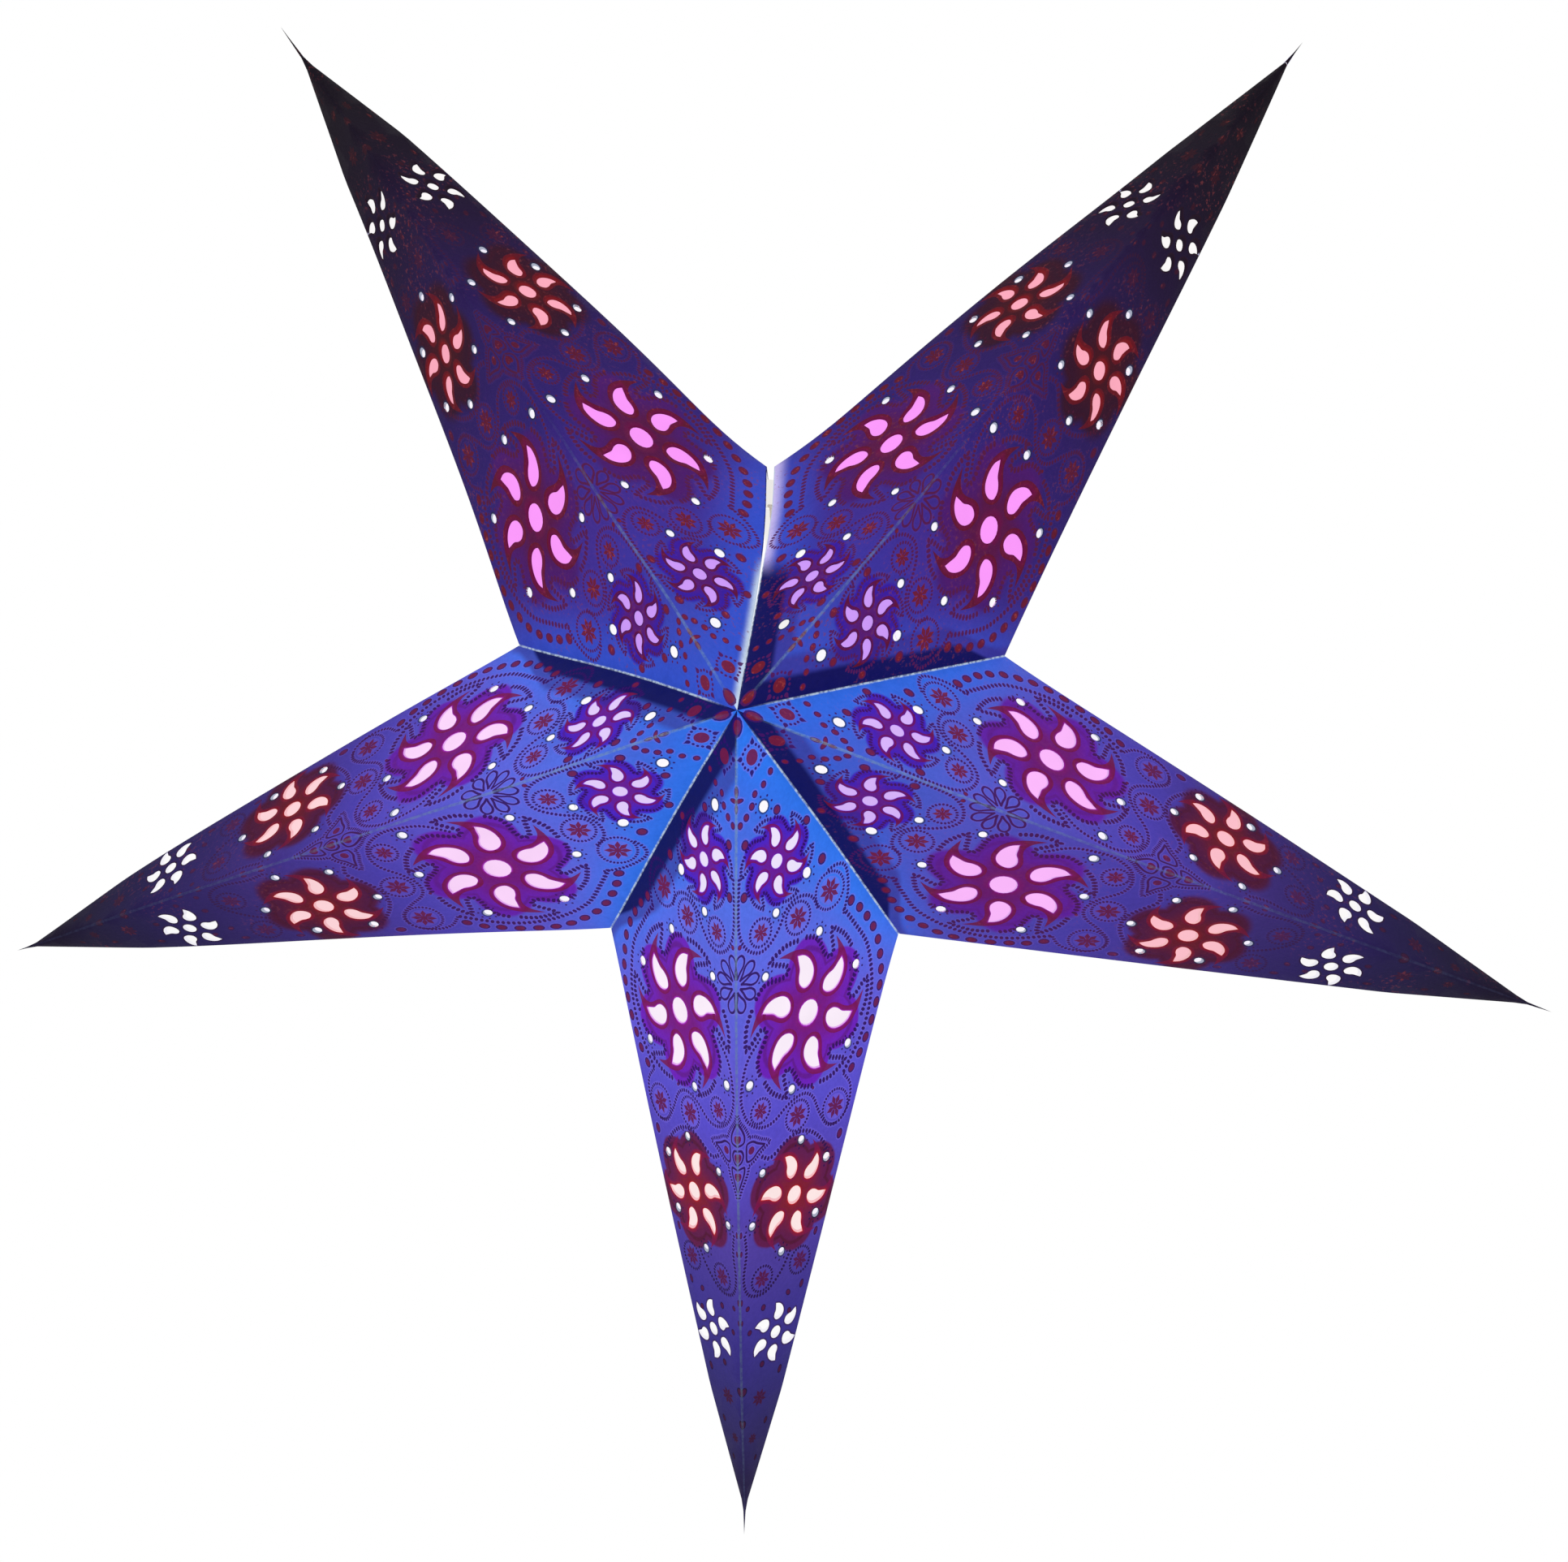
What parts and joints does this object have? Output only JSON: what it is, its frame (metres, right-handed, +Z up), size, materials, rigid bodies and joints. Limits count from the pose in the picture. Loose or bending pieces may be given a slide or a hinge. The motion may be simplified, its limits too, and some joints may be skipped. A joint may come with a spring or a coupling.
{
  "type": "paper star lantern",
  "caption": "Folded paper star lantern with cut-out flowers backed by tissue, that closes flat like a fan, hung round a lamp holder and bulb.",
  "frame": {"origin": "centre of the top of the cord grip, where the lamp's cord comes out and holds the lantern up", "axes": "+Z up along the lamp's cord, -Y towards the star's front face, +X to the right as seen from the front; the bottom arm points along -Z"},
  "size_m": [0.6, 0.178, 0.5689],
  "materials": {
    "printed_paper": "matt printed handmade paper, blue at the centre to dark indigo at the tips, with maroon ink",
    "tissue": "thin coloured tissue, lit through",
    "seam_paper": "matt paper, folded and creased",
    "cotton_string": "twisted cotton",
    "white_plastic": "moulded, satin",
    "grip_plastic": "moulded, matt",
    "brass": "plain pressed brass",
    "opal_glass": "opal, smooth"
  },
  "bodies": {
    "lamp": {"cord_grip": "grip_plastic", "holder_cap": "white_plastic", "holder_body": "white_plastic", "socket_sleeve": "brass", "socket_contact": "brass"},
    "bulb": {"bulb_screw_cap": "brass", "bulb_end_contact": "brass", "bulb_globe": "opal_glass"},
    "bottom_arm": {"bottom_panel_front_left": "printed_paper", "bottom_panel_front_right": "printed_paper", "bottom_panel_back_left": "printed_paper", "bottom_panel_back_right": "printed_paper", "bottom_tissue_front_left": "tissue", "bottom_tissue_front_right": "tissue", "bottom_tissue_back_left": "tissue", "bottom_tissue_back_right": "tissue"},
    "lower_left_arm": {"lower_left_panel_front_left": "printed_paper", "lower_left_panel_front_right": "printed_paper", "lower_left_panel_back_left": "printed_paper", "lower_left_panel_back_right": "printed_paper", "lower_left_tissue_front_left": "tissue", "lower_left_tissue_front_right": "tissue", "lower_left_tissue_back_left": "tissue", "lower_left_tissue_back_right": "tissue"},
    "upper_left_arm": {"upper_left_panel_front_left": "printed_paper", "upper_left_panel_front_right": "printed_paper", "upper_left_panel_back_left": "printed_paper", "upper_left_panel_back_right": "printed_paper", "upper_left_tissue_front_left": "tissue", "upper_left_tissue_front_right": "tissue", "upper_left_tissue_back_left": "tissue", "upper_left_tissue_back_right": "tissue", "seam_flap_front_left": "seam_paper", "seam_flap_back_left": "seam_paper", "seam_tie_front_left": "cotton_string", "seam_tie_back_left": "cotton_string", "hanging_string_left": "cotton_string"},
    "upper_right_arm": {"upper_right_panel_front_left": "printed_paper", "upper_right_panel_front_right": "printed_paper", "upper_right_panel_back_left": "printed_paper", "upper_right_panel_back_right": "printed_paper", "upper_right_tissue_front_left": "tissue", "upper_right_tissue_front_right": "tissue", "upper_right_tissue_back_left": "tissue", "upper_right_tissue_back_right": "tissue", "seam_flap_front_right": "seam_paper", "seam_flap_back_right": "seam_paper", "seam_tie_front_right": "cotton_string", "seam_tie_back_right": "cotton_string", "hanging_string_right": "cotton_string"},
    "lower_right_arm": {"lower_right_panel_front_left": "printed_paper", "lower_right_panel_front_right": "printed_paper", "lower_right_panel_back_left": "printed_paper", "lower_right_panel_back_right": "printed_paper", "lower_right_tissue_front_left": "tissue", "lower_right_tissue_front_right": "tissue", "lower_right_tissue_back_left": "tissue", "lower_right_tissue_back_right": "tissue"}
  },
  "joints": [
    {"name": "star_turn", "type": "hinge", "parent": "lamp", "child": "bottom_arm", "pos_m": [0, 0, 0], "axis": [0, 0, 1], "continuous": true},
    {"name": "lower_left_fold", "type": "hinge", "parent": "bottom_arm", "child": "lower_left_arm", "pos_m": [0, 0, -0.092], "axis": [0, -1, 0], "range_deg": [0, 70.3], "deforming": ["bottom_panel_front_left", "bottom_panel_front_right", "bottom_panel_back_left", "bottom_panel_back_right", "bottom_tissue_front_left", "bottom_tissue_front_right", "bottom_tissue_back_left", "bottom_tissue_back_right", "lower_left_panel_front_left", "lower_left_panel_front_right", "lower_left_panel_back_left", "lower_left_panel_back_right", "lower_left_tissue_front_left", "lower_left_tissue_front_right", "lower_left_tissue_back_left", "lower_left_tissue_back_right"]},
    {"name": "upper_left_fold", "type": "hinge", "parent": "lower_left_arm", "child": "upper_left_arm", "pos_m": [0, 0, -0.092], "axis": [0, -1, 0], "range_deg": [0, 70.3], "deforming": ["upper_left_panel_front_left", "upper_left_panel_front_right", "upper_left_panel_back_left", "upper_left_panel_back_right", "upper_left_tissue_front_left", "upper_left_tissue_front_right", "upper_left_tissue_back_left", "upper_left_tissue_back_right", "seam_flap_front_left", "seam_flap_back_left", "seam_tie_front_left", "seam_tie_back_left", "hanging_string_left"]},
    {"name": "lower_right_fold", "type": "hinge", "parent": "bottom_arm", "child": "lower_right_arm", "pos_m": [0, 0, -0.092], "axis": [0, 1, 0], "range_deg": [0, 70.3], "deforming": ["lower_right_panel_front_left", "lower_right_panel_front_right", "lower_right_panel_back_left", "lower_right_panel_back_right", "lower_right_tissue_front_left", "lower_right_tissue_front_right", "lower_right_tissue_back_left", "lower_right_tissue_back_right"]},
    {"name": "upper_right_fold", "type": "hinge", "parent": "lower_right_arm", "child": "upper_right_arm", "pos_m": [0, 0, -0.092], "axis": [0, 1, 0], "range_deg": [0, 70.3], "deforming": ["upper_right_panel_front_left", "upper_right_panel_front_right", "upper_right_panel_back_left", "upper_right_panel_back_right", "upper_right_tissue_front_left", "upper_right_tissue_front_right", "upper_right_tissue_back_left", "upper_right_tissue_back_right", "seam_flap_front_right", "seam_flap_back_right", "seam_tie_front_right", "seam_tie_back_right", "hanging_string_right"]},
    {"name": "bulb_removal", "type": "slide", "parent": "lamp", "child": "bulb", "axis": [0, 0, -1], "range_m": [0, 0.03]}
  ],
  "couplings": [
    {"joint": "upper_left_fold", "follows": "lower_left_fold", "ratio": 1},
    {"joint": "lower_right_fold", "follows": "lower_left_fold", "ratio": 1},
    {"joint": "upper_right_fold", "follows": "lower_left_fold", "ratio": 1}
  ]
}
